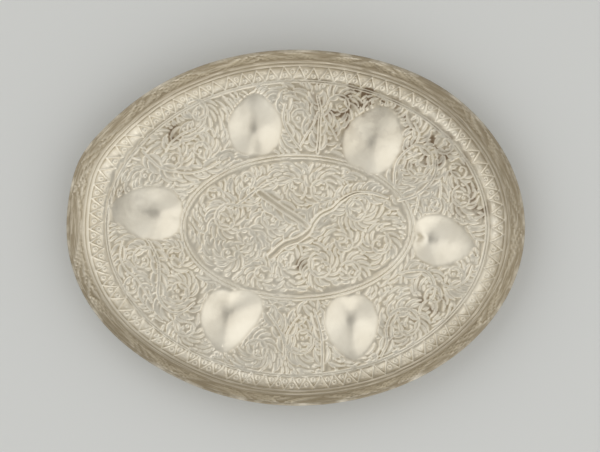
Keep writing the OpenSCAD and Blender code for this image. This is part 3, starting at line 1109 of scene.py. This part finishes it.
class PLATE_OT_dish(bpy.types.Operator):
    """Makes the raised and chased sheet"""

    bl_idname = "plate.dish"
    bl_label = "Dish"

    def execute(self, context):
        s = sizes()
        values = {
            "Zigzags": s.zigzag_count, "Round": float(way_round(0.0)[1]), "Leaf relief": s.leaf_relief,
            "Line relief": s.line_relief, "Seed": s.seed, "Silver": chased_silver(),
        }
        dish = grown("chased_dish", flat_sheet(), raise_border_tree(), values)
        set_hollow_shade_and_dirt(dish.data)
        for name in ("strip", "raised"):
            dish.data.attributes.remove(dish.data.attributes[name])
        thinned(dish)
        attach(dish, "root")
        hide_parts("dish")
        return {"FINISHED"}


class PLATE_OT_wire(bpy.types.Operator):
    """Makes the wire soldered round the rim"""

    bl_idname = "plate.wire"
    bl_label = "Rim wire"

    def execute(self, context):
        values = {"Thickness": sizes().wire_thick, "Waves": WIRE_WAVES * MM, "Silver": wire_silver()}
        wire = grown("silver_rim_wire", rim_path(), sweep_wire_tree(), values)
        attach(wire, "root")
        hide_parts("rim_wire")
        return {"FINISHED"}


CAMERA_LEAN, CAMERA_TILT = math.radians(4.0), math.radians(1.5)
# How far away the camera is, how much it takes in from side to side, and where it aims, in metres.
CAMERA_AWAY, FRAME_WIDE, AIM = 1.0, 0.2601, (0.0026, 0.0006)
# Softboxes: name, place, size along x and y, power in watts.
SOFTBOXES = (
    ("softbox_left", (-0.8, 0.55, 0.8), (1.6, 1.8), 4.0),
    ("softbox_right", (0.98, -0.1, 0.7), (1.2, 1.8), 2.6),
    ("table_glow", (0.2, -1.0, 0.5), (1.6, 0.9), 3.0),
)
# The tent of pale cloth round the plate, and the dark gap above that the camera looks through.
TENT, TENT_BRIGHT, GAP_BRIGHT = "#FAFBFC", 0.8, 0.02
# How far from straight up the gap starts to brighten, and where the tent is at its full brightness.
GAP_ENDS, TENT_STARTS = 0.07, 0.36
# The ground's width, in metres.
FLOOR_WIDE = 4


class PLATE_OT_stage(bpy.types.Operator):
    """Lays the floor and sets the lights and the camera"""

    bl_idname = "plate.stage"
    bl_label = "Stage"

    def execute(self, context):
        scene = context.scene
        bpy.ops.mesh.primitive_plane_add(size=FLOOR_WIDE)
        floor = context.object
        floor.name = "floor"
        floor.data.materials.append(floor_paper())
        world = bpy.data.worlds.new("studio")
        world.use_nodes = True
        sky = world.node_tree
        node = partial(add_node, sky)
        way = node("ShaderNodeTexCoord").outputs["Generated"]
        aside = node("ShaderNodeVectorMath", {0: way, 1: (1, 0.6, 0)}, operation="MULTIPLY").outputs[0]
        aside = node("ShaderNodeVectorMath", {0: aside}, operation="LENGTH").outputs["Value"]
        bright = node(
            "ShaderNodeMapRange",
            {"Value": aside, "From Min": GAP_ENDS, "From Max": TENT_STARTS,
             "To Min": GAP_BRIGHT, "To Max": TENT_BRIGHT},
            interpolation_type="SMOOTHSTEP",
        ).outputs[0]
        sky.links.new(bright, sky.nodes["Background"].inputs["Strength"])
        sky.nodes["Background"].inputs["Color"].default_value = linear(TENT)
        scene.world = world
        aim = Vector((*AIM, CAD_BOX[1].z))
        for name, place, (wide, deep), power in SOFTBOXES:
            light = bpy.data.lights.new(name, "AREA")
            light.shape, light.size, light.size_y, light.energy = "RECTANGLE", wide, deep, power
            box = bpy.data.objects.new(name, light)
            box.location = place
            box.rotation_euler = (box.location - aim).to_track_quat("Z", "Y").to_euler()
            context.collection.objects.link(box)
        camera = bpy.data.objects.new("camera", bpy.data.cameras.new("camera"))
        camera.data.lens = camera.data.sensor_width * CAMERA_AWAY / FRAME_WIDE
        camera.location = aim + CAMERA_AWAY * Vector((math.tan(CAMERA_LEAN), -math.tan(CAMERA_TILT), 1))
        back = (camera.location - aim).normalized()
        right = Vector((0, 1, 0)).cross(back).normalized()
        camera.rotation_euler = Matrix((right, back.cross(right), back)).transposed().to_euler()
        context.collection.objects.link(camera)
        scene.camera = camera
        scene.view_settings.view_transform = "Standard"
        return {"FINISHED"}


class PLATE_PT_panel(bpy.types.Panel):
    """The plate's sizes, colours and operators"""

    bl_label = "Plate"
    bl_space_type = "VIEW_3D"
    bl_region_type = "UI"
    bl_category = "Plate"

    def draw(self, context):
        for group in (context.scene.plate_sizes, context.scene.plate_colours):
            for name in group.__annotations__:
                self.layout.prop(group, name)
        for operator in (PLATE_OT_dish, PLATE_OT_wire, PLATE_OT_stage):
            self.layout.operator(operator.bl_idname)


CLASSES = (PlateSizes, PlateColours, PLATE_OT_dish, PLATE_OT_wire, PLATE_OT_stage, PLATE_PT_panel)


def register():
    for each in CLASSES:
        bpy.utils.register_class(each)
    bpy.types.Scene.plate_sizes = bpy.props.PointerProperty(type=PlateSizes)
    bpy.types.Scene.plate_colours = bpy.props.PointerProperty(type=PlateColours)


def unregister():
    del bpy.types.Scene.plate_colours
    del bpy.types.Scene.plate_sizes
    for each in reversed(CLASSES):
        bpy.utils.unregister_class(each)


def main():
    register()
    bpy.ops.plate.dish()
    bpy.ops.plate.wire()
    bpy.ops.plate.stage()


if __name__ == "__main__":
    main()
